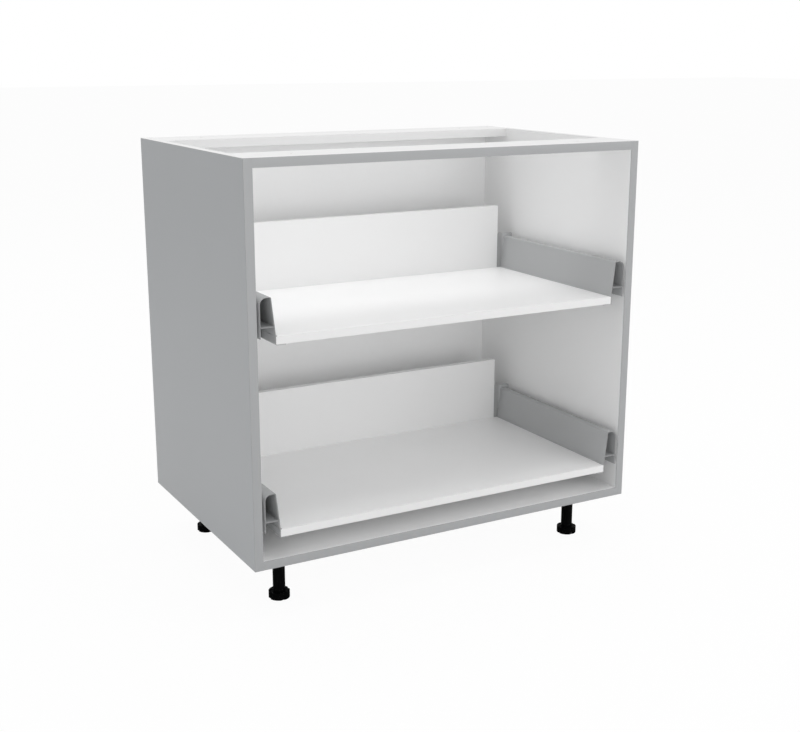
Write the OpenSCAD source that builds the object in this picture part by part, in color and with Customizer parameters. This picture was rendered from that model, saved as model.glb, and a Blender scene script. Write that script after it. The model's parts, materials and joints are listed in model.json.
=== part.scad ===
// Kitchen base cabinet, open at the front, with two pan drawers that have no fronts yet.
// Millimetres. The origin is on the floor under the middle of the cabinet,
// X runs across it, Y from the open front to the back, Z up.

/* [Carcass] */
// Width over the two sides
carcass_w = 800; // [500:1:1000]
// Height of the sides, without the legs
carcass_h = 706; // [640:1:900]
// Depth of the sides, with the front edge band
carcass_d = 520; // [500:1:620]
// Thickness of the melamine boards
board_t = 16; // [16:0.5:19]
// Depth of the two flat top rails
rail_w = 100; // [84:1:140]
// Thickness of the edge band on the front edges
band_t = 1; // [0.6:0.1:2]
// Thickness of the back panel
back_t = 3; // [2.5:0.1:4]
// Distance from the rear edges to the back panel
back_inset = 14; // [10:0.5:20]
// Depth of the grooves that hold the back panel
groove_depth = 7; // [4:0.5:8]
// Play of the back panel in its grooves, on each face
groove_play = 0.2; // [0.1:0.05:0.4]

/* [Carcass fittings] */
// Diameter of the wooden dowels
dowel_d = 8; // [6:1:8]
// Length of the wooden dowels
dowel_l = 30; // [25:1:35]
// How far dowels and cam bolts reach into a side
fitting_depth = 10; // [8:0.5:11]
// Diameter of the cam discs
cam_d = 15; // [12:0.5:16]
// Height of the cam discs
cam_h = 12; // [11:0.5:13]
// Distance from a board's end to the middle of a cam disc
cam_from_end = 34; // [28:0.5:40]
// Distance from the front and the rear of the bottom panel to its cams
bottom_cam_y = 30; // [28:1:36]
// Distance from the front and the rear of the bottom panel to its dowels
bottom_dowel_y = 130; // [110:1:180]
// Distance from a rail's front edge to its cams and worktop holes
rail_cam_y = 50; // [44:1:54]
// Distance from a rail's front edge to its dowels
rail_dowel_y = 22; // [16:1:28]
// Distance from the rail ends to the holes for worktop screws
worktop_hole_x = 90; // [60:1:120]
// Diameter of the holes for worktop screws
worktop_hole_d = 5; // [4:0.1:7]
// Play of a fitting in its hole, on the radius
fitting_play = 0.1; // [0.05:0.05:0.2]

/* [Legs] */
// Height of the legs at their shortest setting
leg_h = 94; // [80:1:150]
// Distance from the outer face of a side to the leg axis
leg_inset_x = 77; // [60:1:120]
// Distance from the front to the axis of the front legs
leg_inset_front = 78; // [60:1:140]
// Distance from the rear to the axis of the rear legs
leg_inset_rear = 71; // [60:1:140]
// Diameter of the leg stem
stem_d = 22.6; // [20:0.1:28]
// Diameter of the foot disc
foot_d = 38.8; // [34:0.1:50]
// Height of the foot disc
foot_t = 13.8; // [10:0.1:18]
// Depth of the finger grips in the foot disc's rim
grip_depth = 2.2; // [1:0.1:4]
// Diameter of the foot's spindle
spindle_d = 10; // [8:0.5:12]
// Length of the spindle above the disc
spindle_l = 42; // [32:1:46]
// How far the foot screws out
foot_travel = 20; // [10:1:25]
// Side length of the square leg plate
leg_plate_w = 60; // [56:1:70]
// Thickness of the leg plate
leg_plate_t = 4; // [3:0.5:6]
// Depth of the socket that holds the stem
socket_h = 18; // [14:1:24]
// Wall of the socket
socket_wall = 3.4; // [2.5:0.1:4.5]
// Distance between the screws of a leg plate
leg_screw_pitch = 44; // [40:1:48]

/* [Drawers] */
// Nominal length of drawer and runner
drawer_l = 400; // [350:10:420]
// Clear height under the lower drawer
lower_lift = 39.5; // [30:0.5:60]
// Height from one drawer to the next
drawer_pitch = 342; // [240:1:350]
// Thickness of the drawer boards
drawer_board_t = 14; // [13:0.5:18]
// Height of the drawer back above the drawer bottom
drawer_back_h = 134; // [90:1:140]
// Distance from the carcass side to the end of the drawer back
back_end_gap = 43.5; // [42:0.5:50]
// How much shorter the metal side is than the nominal length
side_short = 17.5; // [15:0.5:30]

/* [Metal drawer sides] */
// Distance from the carcass side to the edge of the drawer bottom
side_zone = 33.5; // [33:0.5:38]
// Gap between the carcass side and the metal side
side_gap = 5; // [4.5:0.1:6.5]
// Height of the metal side above the underside of the drawer bottom
side_h = 81.5; // [70:0.5:100]
// Width of the metal side at the top
side_top_w = 21.5; // [20:0.1:23]
// Height of the inner web that rests on the runner
web_z = 30; // [28:0.5:32]
// Height of the lower edge of the outer wall
outer_wall_z = 12; // [9:0.5:14]
// Radius of the outer top edge
outer_r = 12; // [6:0.5:14]
// Radius of the inner top edge
inner_r = 3; // [2:0.5:5]
// Sheet thickness of the metal side
wall_t = 1.2; // [0.8:0.1:1.5]
// Width of the lip under the drawer bottom
lip_w = 18; // [14:1:24]
// Width of the ledge over the edge of the drawer bottom
ledge_w = 2; // [1:0.1:3]
// Sheet thickness of the rear brackets
bracket_t = 1.5; // [1:0.1:2]
// Width of a bracket's flange behind the drawer back
bracket_flange_w = 34; // [26:1:44]
// How far the rear brackets stand above the metal side
bracket_rise = 6.5; // [2:0.5:20]

/* [Runners] */
// Distance from the front of the carcass to the runner
runner_set = 55; // [45:1:60]
// How much shorter the fixed member is than the nominal length
fixed_short = 25; // [15:1:30]
// Sheet thickness of the runner members
runner_t = 1.2; // [1:0.1:1.4]
// Distance from the carcass side to the runner's track
track_gap = 9.6; // [9.4:0.1:9.9]
// Width of the track
track_w = 18.8; // [18:0.1:18.8]
// Height of the fixed member's flange
flange_h = 27; // [22:0.5:30]
// How much shorter the middle member is than the nominal length
middle_short = 30; // [26:1:60]
// Width of the middle member's flanges
middle_w = 14; // [13:0.1:14.4]
// Width of the lips that hold a flange in its track
track_lip = 4.6; // [4:0.1:5]
// How much shorter the travel is than the nominal length
travel_short = 15; // [10:1:40]
// Diameter of the rollers
roller_d = 3.2; // [2.8:0.1:3.4]
// Length of a roller
roller_l = 11.6; // [10:0.1:12]
// Number of rollers in a cage
roller_n = 5; // [3:1:5]
// Pitch of the rollers
roller_pitch = 24; // [16:1:26]
// Length of a cage
cage_l = 120; // [116:1:130]
// Thickness of a cage
cage_t = 1.6; // [1:0.1:2]
// Running clearance of the rollers
roller_play = 0.2; // [0.1:0.05:0.3]
// Distance from the front of the runner to its first screw
runner_screw_y = 35; // [25:1:50]
// Pitch of the runner screws
runner_screw_pitch = 128; // [96:32:128]

/* [Hidden] */
$fn = 48;

LEFT = -1;
RIGHT = 1;
FRONT = 0;
REAR = 1;
UPPER = 1;
LOWER = 0;

// The carcass
inner_w = carcass_w - 2 * board_t;
front_y = -carcass_d / 2;
rear_y = carcass_d / 2;
core_y = front_y + band_t;
bottom_z = leg_h;
top_z = leg_h + carcass_h;
floor_z = bottom_z + board_t;
rail_z = top_z - board_t;
back_y = rear_y - back_inset - back_t;
rear_rail_y = rear_y - rail_w;
panel_play = 0.5;
through = 1;

// Places of the fittings on a side, as points of Y and Z
bottom_mid_z = bottom_z + board_t / 2;
rail_mid_z = rail_z + board_t / 2;
bottom_cam_points = [[front_y + bottom_cam_y, bottom_mid_z], [rear_y - bottom_cam_y, bottom_mid_z]];
front_cam_point = [front_y + rail_cam_y, rail_mid_z];
rear_cam_point = [rear_rail_y + rail_cam_y, rail_mid_z];
cam_points = concat(bottom_cam_points, [front_cam_point, rear_cam_point]);
bottom_dowel_points = [[front_y + bottom_dowel_y, bottom_mid_z], [rear_y - bottom_dowel_y, bottom_mid_z]];
front_dowel_point = [front_y + rail_dowel_y, rail_mid_z];
rear_dowel_point = [rear_rail_y + rail_dowel_y, rail_mid_z];
dowel_points = concat(bottom_dowel_points, [front_dowel_point, rear_dowel_point]);

// The cam fittings
bolt_thread_d = 5;
bolt_rod_d = 6;
bolt_neck_d = 4;
bolt_head_d = 6.6;
bolt_head_l = 3;
bolt_neck_lead = 1;
bolt_hole_d = 8;
cam_slot_w = 7.4;
cam_slot_h = 8;
cam_neck_w = 4.6;
driver_w = 1.6;
driver_l = 9;
driver_depth = 2;

// The legs
stem_play = 0.1;
socket_play = 0.15;
spindle_play = 0.2;
bore_end = 3;
foot_edge = 1;
grip_r = 6;
grip_n = 4;
leg_screw_d = 4;
leg_screw_l = 15;
leg_screw_head_d = 8;
leg_screw_head_h = 2.4;
plate_corner_r = 6;
rib_t = 2.4;

// The drawers
side_l = drawer_l - side_short;
drawer_z = [floor_z + lower_lift, floor_z + lower_lift + drawer_pitch];
edge_play = 0.1;
bottom_edge = inner_w / 2 - side_zone - edge_play;
back_end = inner_w / 2 - back_end_gap;
drawer_back_y = front_y + side_l;
bottom_l = side_l + drawer_board_t;
drawer_rear_y = drawer_back_y + drawer_board_t;
bend_steps = 8;
bracket_play = 0.2;
bracket_r = 4;
drawer_screw_d = 3.5;
drawer_screw_l = 12;
drawer_screw_head_d = 7;
drawer_screw_head_h = 2;
pilot_play = 0.05;
lip_screw_first = 60;
lip_screw_pitch = 120;
lip_screw_n = 3;
bracket_screw_z = [34, 66];

// The runners
lip_play = 0.6;
travel = drawer_l - travel_short;
runner_y = front_y + runner_set;
middle_y = runner_y + runner_t + roller_play;
middle_l = drawer_l - middle_short;
fixed_l = drawer_l - fixed_short;
member_l = bottom_l - runner_set;
cage_set = 8;
under_y = runner_y + cage_set + travel / 4;
track_in = track_gap + runner_t;
track_out = track_gap + track_w - runner_t;
track_mid = track_gap + track_w / 2;
flange_low_z = runner_t + 2 * roller_play + roller_d;
track_low_top = flange_low_z + 2 * runner_t + lip_play;
over_top_z = web_z;
flange_high_z = over_top_z - runner_t - 2 * roller_play - roller_d;
track_high_low = flange_high_z - 2 * runner_t - lip_play;
middle_web = 2 * runner_t;
cage_side_play = 0.4;
pocket_play = 0.2;
runner_screw_d = 4.8;
runner_screw_l = 12;
runner_screw_head_d = 8;
runner_screw_head_h = 2;
runner_screw_z = 16;
runner_screw_n = 3;

function arc(mid, r, a0, a1) =
    [for (i = [0:bend_steps]) mid + r * [cos(a0 + (a1 - a0) * i / bend_steps),
                                         sin(a0 + (a1 - a0) * i / bend_steps)]];
function unit(v) = v / norm(v);
function right_of(a, b) = let (d = unit(b - a)) [d[1], -d[0]];
// Corner i of a path, moved by t to the right of the way along it, with mitred bends
function moved(path, i, t) =
    let (last = len(path) - 1,
         before = i == 0 ? right_of(path[0], path[1]) : right_of(path[i - 1], path[i]),
         after = i == last ? before : right_of(path[i], path[i + 1]))
    path[i] + (before + after) * t / (1 + before * after);
// Outline of a sheet of thickness t that lies to the right of a path
function sheet(path, t) =
    concat(path, [for (i = [len(path) - 1:-1:0]) moved(path, i, t)]);

function leg_x(side) = side * (carcass_w / 2 - leg_inset_x);
function leg_y(end) = end == FRONT ? front_y + leg_inset_front : rear_y - leg_inset_rear;
function corners(pitch) = [for (x = [-1, 1], y = [-1, 1]) [x * pitch / 2, y * pitch / 2]];

// What is drawn for the left side of the cabinet, put on either side
module on(side) {
    if (side == LEFT) children();
    else mirror([1, 0, 0]) children();
}

// A section of distance from the left carcass side and height, carried from y0 to y1
module along(y0, y1, z) {
    translate([-inner_w / 2, y1, z]) rotate([90, 0, 0]) linear_extrude(y1 - y0) children();
}

module block(low, high) {
    translate(low) cube(high - low);
}

module rect(low, high) {
    translate(low) square(high - low);
}

// A round bar along X from x0 to x1
module bar_x(d, x0, x1) {
    translate([x0, 0, 0]) rotate([0, 90, 0]) cylinder(h = x1 - x0, d = d);
}

// A pan head screw that points along +X, with its head's seat at the origin
module screw_x(d, l, head_d, head_h) {
    rim_h = head_h / 2;
    crown_d = head_d - head_h;
    tip_l = d / 2;
    rotate([0, 90, 0]) rotate_extrude() polygon([
        [0, -head_h], [crown_d / 2, -head_h], [head_d / 2, -rim_h], [head_d / 2, 0],
        [d / 2, 0], [d / 2, l - tip_l], [0, l]]);
}

module side_fitting_holes() {
    for (p = cam_points) translate([0, p[0], p[1]])
        bar_x(bolt_thread_d + 2 * fitting_play, -inner_w / 2 - fitting_depth, -inner_w / 2 + through);
    for (p = dowel_points) translate([0, p[0], p[1]])
        bar_x(dowel_d + 2 * fitting_play, -inner_w / 2 - fitting_depth - fitting_play,
              -inner_w / 2 + through);
    for (z = drawer_z, i = [0:runner_screw_n - 1])
        translate([0, runner_y + runner_screw_y + i * runner_screw_pitch, z + runner_screw_z])
            bar_x(runner_screw_d + 2 * fitting_play, -inner_w / 2 - runner_screw_l, -inner_w / 2 + through);
}

module side(hand) {
    color("#c4c6c8") on(hand) difference() {
        block([-carcass_w / 2, core_y, bottom_z], [-inner_w / 2, rear_y, top_z]);
        block([-inner_w / 2 - groove_depth, back_y - groove_play, bottom_z - through],
              [-inner_w / 2 + through, back_y + back_t + groove_play, top_z + through]);
        side_fitting_holes();
    }
}

// Holes in both ends of a board for its cams and dowels, as seen from its middle height
module end_holes(cams, dowels, low_z) {
    for (hand = [LEFT, RIGHT]) on(hand) {
        for (p = cams) translate([0, p[0], p[1]]) {
            bar_x(bolt_hole_d, -inner_w / 2 - through, -inner_w / 2 + cam_from_end);
            translate([-inner_w / 2 + cam_from_end, 0, low_z - through - p[1]])
                cylinder(h = cam_h + fitting_play + through, d = cam_d + 2 * fitting_play);
        }
        for (p = dowels) translate([0, p[0], p[1]])
            bar_x(dowel_d + 2 * fitting_play, -inner_w / 2 - through,
                  -inner_w / 2 + dowel_l - fitting_depth + fitting_play);
    }
}

module bottom_panel() {
    color("#d9dadb") difference() {
        block([-inner_w / 2, core_y, bottom_z], [inner_w / 2, rear_y, floor_z]);
        block([-inner_w / 2 - through, back_y - groove_play, floor_z - groove_depth],
              [inner_w / 2 + through, back_y + back_t + groove_play, floor_z + through]);
        end_holes(bottom_cam_points, bottom_dowel_points, bottom_z);
        for (x = [LEFT, RIGHT], y = [FRONT, REAR], c = corners(leg_screw_pitch))
            translate([leg_x(x) + c[0], leg_y(y) + c[1], bottom_z - through])
                cylinder(h = leg_screw_l - leg_plate_t + leg_screw_head_h + through,
                         d = leg_screw_d + 2 * pilot_play);
    }
}

module worktop_holes(y) {
    for (x = [LEFT, RIGHT]) translate([x * (inner_w / 2 - worktop_hole_x), y, rail_z - through])
        cylinder(h = board_t + 2 * through, d = worktop_hole_d);
}

module front_rail() {
    color("#e2e3e4") difference() {
        block([-inner_w / 2, core_y, rail_z], [inner_w / 2, front_y + rail_w, top_z]);
        end_holes([front_cam_point], [front_dowel_point], rail_z);
        worktop_holes(front_y + rail_cam_y);
    }
}

module rear_rail() {
    color("#e2e3e4") difference() {
        block([-inner_w / 2, rear_rail_y, rail_z], [inner_w / 2, rear_y, top_z]);
        block([-inner_w / 2 - through, back_y - groove_play, rail_z - through],
              [inner_w / 2 + through, back_y + back_t + groove_play, rail_z + groove_depth]);
        end_holes([rear_cam_point], [rear_dowel_point], rail_z);
        worktop_holes(rear_rail_y + rail_cam_y);
    }
}

module back_panel() {
    reach = groove_depth - panel_play;
    color("#d4d5d6")
        block([-inner_w / 2 - reach, back_y, floor_z - reach],
              [inner_w / 2 + reach, back_y + back_t, rail_z + reach]);
}

module front_edge_bands() {
    color("#a7a9ab") {
        for (hand = [LEFT, RIGHT]) on(hand)
            block([-carcass_w / 2, front_y, bottom_z], [-inner_w / 2, core_y, top_z]);
        block([-inner_w / 2, front_y, bottom_z], [inner_w / 2, core_y, floor_z]);
        block([-inner_w / 2, front_y, rail_z], [inner_w / 2, core_y, top_z]);
    }
}

// A dowel with a small chamfer at both ends
module dowel() {
    chamfer = 1;
    rotate([0, 90, 0]) rotate_extrude() polygon([
        [0, 0], [dowel_d / 2 - chamfer, 0], [dowel_d / 2, chamfer],
        [dowel_d / 2, dowel_l - chamfer], [dowel_d / 2 - chamfer, dowel_l], [0, dowel_l]]);
}

module dowels() {
    color("burlywood") for (hand = [LEFT, RIGHT], p = dowel_points) on(hand)
        translate([-inner_w / 2 - fitting_depth, p[0], p[1]]) dowel();
}

// A cam bolt: thread in the side, rod in the board's end, neck and head in the cam disc
module cam_bolt() {
    head_start = cam_from_end - bolt_head_l / 2;
    neck_start = cam_from_end - cam_d / 2 - bolt_neck_lead;
    bar_x(bolt_thread_d, -fitting_depth, 0);
    bar_x(bolt_rod_d, 0, neck_start);
    bar_x(bolt_neck_d, neck_start, head_start);
    bar_x(bolt_head_d, head_start, head_start + bolt_head_l);
}

module cam_bolts() {
    color("silver") for (hand = [LEFT, RIGHT], p = cam_points) on(hand)
        translate([-inner_w / 2, p[0], p[1]]) cam_bolt();
}

// A cam disc with the pocket for the bolt's head, the slot for its neck and a cross recess
module cam_disc(mid_h) {
    difference() {
        cylinder(h = cam_h, d = cam_d);
        block([-cam_slot_w / 2, -cam_slot_w / 2, mid_h - cam_slot_h / 2],
              [cam_slot_w / 2, cam_slot_w / 2, mid_h + cam_slot_h / 2]);
        block([-cam_d, -cam_neck_w / 2, mid_h - cam_slot_h / 2], [0, cam_neck_w / 2, mid_h + cam_slot_h / 2]);
        block([-driver_l / 2, -driver_w / 2, -through], [driver_l / 2, driver_w / 2, driver_depth]);
        block([-driver_w / 2, -driver_l / 2, -through], [driver_w / 2, driver_l / 2, driver_depth]);
    }
}

module cam_discs() {
    color("gray") for (hand = [LEFT, RIGHT], p = cam_points) on(hand)
        translate([-inner_w / 2 + cam_from_end, p[0], p[1] - board_t / 2]) cam_disc(board_t / 2);
}

// A leg's place on the underside of the bottom panel
module at_leg(hand, end) {
    translate([leg_x(hand), leg_y(end), 0]) children();
}

module leg_plate(hand, end) {
    socket_d = stem_d + 2 * (socket_play + socket_wall);
    plate_z = bottom_z - leg_plate_t;
    color("#161616") at_leg(hand, end) difference() {
        union() {
            translate([0, 0, plate_z]) linear_extrude(leg_plate_t) {
                square([leg_plate_w, leg_plate_w - 2 * plate_corner_r], center = true);
                square([leg_plate_w - 2 * plate_corner_r, leg_plate_w], center = true);
                for (c = corners(leg_plate_w - 2 * plate_corner_r)) translate(c) circle(plate_corner_r);
            }
            translate([0, 0, plate_z - socket_h]) cylinder(h = socket_h + leg_plate_t / 2, d = socket_d);
            for (a = [0:90:270]) rotate([90, 0, a]) linear_extrude(rib_t, center = true)
                polygon([[socket_d / 2 - socket_wall / 2, plate_z + leg_plate_t / 2],
                         [socket_d / 2 - socket_wall / 2, plate_z - socket_h],
                         [socket_d / 2, plate_z - socket_h],
                         [leg_plate_w / 2, plate_z], [leg_plate_w / 2, plate_z + leg_plate_t / 2]]);
        }
        translate([0, 0, plate_z - socket_h - through])
            cylinder(h = socket_h + through, d = stem_d + 2 * socket_play);
        for (c = corners(leg_screw_pitch)) translate([c[0], c[1], plate_z - through]) {
            cylinder(h = leg_plate_t + 2 * through, d = leg_screw_d + 2 * fitting_play);
            cylinder(h = leg_screw_head_h + through, d = leg_screw_head_d + 2 * fitting_play);
        }
    }
}

// A stem with the spindle's bore in its lower end
module leg_stem(hand, end) {
    stem_low = foot_t + stem_play;
    stem_high = bottom_z - leg_plate_t - stem_play;
    bore_high = foot_t + spindle_l + bore_end;
    color("#101010") at_leg(hand, end) difference() {
        translate([0, 0, stem_low]) cylinder(h = stem_high - stem_low, d = stem_d);
        translate([0, 0, stem_low - through])
            cylinder(h = bore_high - stem_low + through, d = spindle_d + 2 * spindle_play);
    }
}

// A foot disc with rounded edges and finger grips, and its spindle
module foot(hand, end) {
    r = foot_d / 2;
    color("#101010") at_leg(hand, end) difference() {
        rotate_extrude() polygon(concat(
            [[0, 0]],
            arc([r - foot_edge, foot_edge], foot_edge, -90, 0),
            arc([r - foot_edge, foot_t - foot_edge], foot_edge, 0, 90),
            [[spindle_d / 2, foot_t], [spindle_d / 2, foot_t + spindle_l - foot_edge],
             [spindle_d / 2 - foot_edge, foot_t + spindle_l], [0, foot_t + spindle_l]]));
        for (i = [0:grip_n - 1]) rotate([0, 0, i * 360 / grip_n])
            translate([r - grip_depth + grip_r, 0, -through])
                cylinder(h = foot_t + 2 * through, r = grip_r);
    }
}

module leg_screws() {
    color("silver") for (x = [LEFT, RIGHT], y = [FRONT, REAR], c = corners(leg_screw_pitch))
        translate([leg_x(x) + c[0], leg_y(y) + c[1], bottom_z - leg_plate_t + leg_screw_head_h])
            rotate([0, -90, 0])
                screw_x(leg_screw_d, leg_screw_l - leg_screw_head_h, leg_screw_head_d, leg_screw_head_h);
}

// The member on the carcass side: a flange with a floor, and the track's two lipped walls
module fixed_member(level, hand) {
    y0 = runner_y;
    y1 = runner_y + fixed_l;
    color("#a2a6aa") on(hand) difference() {
        along(y0, y1, drawer_z[level]) {
            rect([0, 0], [runner_t, flange_h]);
            rect([0, 0], [track_out + runner_t, runner_t]);
            rect([track_gap, 0], [track_in, track_low_top]);
            rect([track_gap, track_low_top - runner_t], [track_in + track_lip, track_low_top]);
            rect([track_out, 0], [track_out + runner_t, track_low_top]);
            rect([track_out - track_lip, track_low_top - runner_t], [track_out + runner_t, track_low_top]);
        }
        for (i = [0:runner_screw_n - 1])
            translate([0, runner_y + runner_screw_y + i * runner_screw_pitch, drawer_z[level] + runner_screw_z])
                bar_x(runner_screw_d + 2 * fitting_play, -inner_w / 2 - through, -inner_w / 2 + runner_t + through);
    }
}

module runner_screws() {
    color("silver") for (hand = [LEFT, RIGHT], z = drawer_z, i = [0:runner_screw_n - 1]) on(hand)
        translate([-inner_w / 2 + runner_t, runner_y + runner_screw_y + i * runner_screw_pitch,
                   z + runner_screw_z])
            mirror([1, 0, 0])
                screw_x(runner_screw_d, runner_screw_l - fitting_play, runner_screw_head_d, runner_screw_head_h);
}

// The middle member: a web with a flange in the lower track and one in the upper track
module middle_member(level, hand) {
    low = flange_low_z;
    high = flange_high_z;
    color("#b4b8bb") on(hand) along(middle_y, middle_y + middle_l, drawer_z[level]) {
        rect([track_mid - middle_w / 2, low], [track_mid + middle_w / 2, low + runner_t]);
        rect([track_mid - middle_w / 2, high - runner_t], [track_mid + middle_w / 2, high]);
        rect([track_mid - middle_web / 2, low], [track_mid + middle_web / 2, high]);
    }
}

// The member under the metal side's web: an upside-down track with a stop at its front
module drawer_member(level, hand) {
    low = track_high_low;
    top = over_top_z;
    color("#a2a6aa") on(hand) {
        along(runner_y, runner_y + member_l, drawer_z[level]) {
            rect([track_gap, top - runner_t], [track_out + runner_t, top]);
            rect([track_gap, low], [track_in, top]);
            rect([track_gap, low], [track_in + track_lip, low + runner_t]);
            rect([track_out, low], [track_out + runner_t, top]);
            rect([track_out - track_lip, low], [track_out + runner_t, low + runner_t]);
        }
        along(runner_y, runner_y + runner_t, drawer_z[level])
            rect([track_gap, low], [track_out + runner_t, top]);
    }
}

// A cage with its rollers, at the height of the rollers' axes
module cage(level, hand, axis_z) {
    half_w = (track_out - track_in) / 2 - cage_side_play;
    first = (cage_l - (roller_n - 1) * roller_pitch) / 2;
    mid_x = -inner_w / 2 + track_mid;
    pocket = roller_d + 2 * pocket_play;
    color("ivory") on(hand) translate([mid_x, under_y, drawer_z[level] + axis_z]) {
        difference() {
            block([-half_w, 0, -cage_t / 2], [half_w, cage_l, cage_t / 2]);
            for (i = [0:roller_n - 1]) translate([0, first + i * roller_pitch, 0])
                block([-roller_l / 2 - pocket_play, -pocket / 2, -cage_t],
                      [roller_l / 2 + pocket_play, pocket / 2, cage_t]);
        }
        for (i = [0:roller_n - 1]) translate([0, first + i * roller_pitch, 0])
            bar_x(roller_d, -roller_l / 2, roller_l / 2);
    }
}

module under_cage(level, hand) {
    cage(level, hand, runner_t + roller_play + roller_d / 2);
}

module over_cage(level, hand) {
    cage(level, hand, over_top_z - runner_t - roller_play - roller_d / 2);
}

// The double-walled section: outer wall, round top and sloping inner wall in one sheet,
// the wall and lip that hold the drawer bottom, and the web that rests on the runner
module metal_side_section() {
    top_u = side_gap + side_top_w;
    ledge_z = drawer_board_t + wall_t;
    shell = concat(
        [[side_gap, outer_wall_z]],
        arc([side_gap + outer_r, side_h - outer_r], outer_r, 180, 90),
        arc([top_u - inner_r, side_h - inner_r], inner_r, 90, 0),
        [[side_zone, ledge_z], [side_zone + ledge_w, ledge_z]]);
    polygon(sheet(shell, wall_t));
    polygon(sheet([[side_zone, drawer_board_t + wall_t / 2], [side_zone, 0], [side_zone + lip_w, 0]], wall_t));
    lean = (side_zone - top_u) / (side_h - inner_r - ledge_z);
    web_end = top_u + (side_h - inner_r - web_z - wall_t) * lean - wall_t / 2;
    rect([side_gap + wall_t / 2, web_z], [web_end, web_z + wall_t]);
}

function lip_screw_places() =
    [for (i = [0:lip_screw_n - 1]) front_y + lip_screw_first + i * lip_screw_pitch];

module metal_side(level, hand) {
    color("#9b9ea0") on(hand) difference() {
        along(front_y, front_y + side_l, drawer_z[level]) metal_side_section();
        for (y = lip_screw_places())
            translate([-inner_w / 2 + side_zone + lip_w / 2, y, drawer_z[level] - wall_t - through])
                cylinder(h = wall_t + 2 * through, d = drawer_screw_d + 2 * fitting_play);
    }
}

module drawer_bottom(level) {
    z = drawer_z[level];
    color("white") difference() {
        block([-bottom_edge, front_y, z], [bottom_edge, front_y + bottom_l, z + drawer_board_t]);
        for (hand = [LEFT, RIGHT], y = lip_screw_places())
            translate([hand * (inner_w / 2 - side_zone - lip_w / 2), y, z - through])
                cylinder(h = drawer_screw_l - wall_t + fitting_play + through,
                         d = drawer_screw_d + 2 * pilot_play);
    }
}

// Distance from the carcass side to a bracket's screws
bracket_screw_u = back_end_gap + bracket_flange_w / 2;

module drawer_back(level) {
    z = drawer_z[level] + drawer_board_t;
    color("white") difference() {
        block([-back_end, drawer_back_y, z], [back_end, drawer_rear_y, z + drawer_back_h]);
        for (hand = [LEFT, RIGHT], h = bracket_screw_z)
            translate([hand * (inner_w / 2 - bracket_screw_u), drawer_rear_y + through, drawer_z[level] + h])
                rotate([90, 0, 0]) cylinder(h = drawer_screw_l - bracket_t + fitting_play + through,
                                            d = drawer_screw_d + 2 * pilot_play);
    }
}

// A rear bracket: a plate on the end of the metal side, an arm along the end of the
// drawer back and a flange behind it
module bracket(level, hand) {
    z = drawer_z[level];
    arm_u = back_end_gap - bracket_play;
    base = drawer_board_t;
    top = side_h + bracket_rise;
    over_web = web_z + wall_t;
    color("#6f7274") on(hand) difference() {
        union() {
            along(drawer_back_y, drawer_back_y + bracket_t, z)
                polygon(concat(
                    [[arm_u, base], [arm_u, top]],
                    arc([side_gap + bracket_r, top - bracket_r], bracket_r, 90, 180),
                    [[side_gap, over_web], [side_zone, over_web], [side_zone, base]]));
            along(drawer_back_y, drawer_rear_y + bracket_t, z)
                rect([arm_u - bracket_t, base], [arm_u, top]);
            along(drawer_rear_y, drawer_rear_y + bracket_t, z)
                rect([arm_u - bracket_t, base], [back_end_gap + bracket_flange_w, top]);
        }
        for (h = bracket_screw_z)
            translate([-inner_w / 2 + bracket_screw_u, drawer_rear_y + bracket_t + through, z + h])
                rotate([90, 0, 0]) cylinder(h = bracket_t + 2 * through, d = drawer_screw_d + 2 * fitting_play);
    }
}

// The screws that hold a drawer's bottom and back
module drawer_screws(level) {
    z = drawer_z[level];
    color("silver") for (hand = [LEFT, RIGHT]) on(hand) {
        for (y = lip_screw_places())
            translate([-inner_w / 2 + side_zone + lip_w / 2, y, z - wall_t]) rotate([0, -90, 0])
                screw_x(drawer_screw_d, drawer_screw_l, drawer_screw_head_d, drawer_screw_head_h);
        for (h = bracket_screw_z)
            translate([-inner_w / 2 + bracket_screw_u, drawer_rear_y + bracket_t, z + h]) rotate([0, 0, -90])
                screw_x(drawer_screw_d, drawer_screw_l, drawer_screw_head_d, drawer_screw_head_h);
    }
}

side(LEFT);  // side_left
side(RIGHT);  // side_right
bottom_panel();
front_rail();
rear_rail();
back_panel();
front_edge_bands();
dowels();
cam_bolts();
cam_discs();
leg_plate(LEFT, FRONT);  // leg_plate_front_left
leg_plate(RIGHT, FRONT);  // leg_plate_front_right
leg_plate(LEFT, REAR);  // leg_plate_rear_left
leg_plate(RIGHT, REAR);  // leg_plate_rear_right
leg_stem(LEFT, FRONT);  // leg_stem_front_left
leg_stem(RIGHT, FRONT);  // leg_stem_front_right
leg_stem(LEFT, REAR);  // leg_stem_rear_left
leg_stem(RIGHT, REAR);  // leg_stem_rear_right
foot(LEFT, FRONT);  // foot_front_left
foot(RIGHT, FRONT);  // foot_front_right
foot(LEFT, REAR);  // foot_rear_left
foot(RIGHT, REAR);  // foot_rear_right
leg_screws();
fixed_member(UPPER, LEFT);  // upper_left_fixed_member
fixed_member(UPPER, RIGHT);  // upper_right_fixed_member
fixed_member(LOWER, LEFT);  // lower_left_fixed_member
fixed_member(LOWER, RIGHT);  // lower_right_fixed_member
runner_screws();
middle_member(UPPER, LEFT);  // upper_left_middle_member
middle_member(UPPER, RIGHT);  // upper_right_middle_member
middle_member(LOWER, LEFT);  // lower_left_middle_member
middle_member(LOWER, RIGHT);  // lower_right_middle_member
under_cage(UPPER, LEFT);  // upper_left_under_cage
under_cage(UPPER, RIGHT);  // upper_right_under_cage
under_cage(LOWER, LEFT);  // lower_left_under_cage
under_cage(LOWER, RIGHT);  // lower_right_under_cage
over_cage(UPPER, LEFT);  // upper_left_over_cage
over_cage(UPPER, RIGHT);  // upper_right_over_cage
over_cage(LOWER, LEFT);  // lower_left_over_cage
over_cage(LOWER, RIGHT);  // lower_right_over_cage
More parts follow.
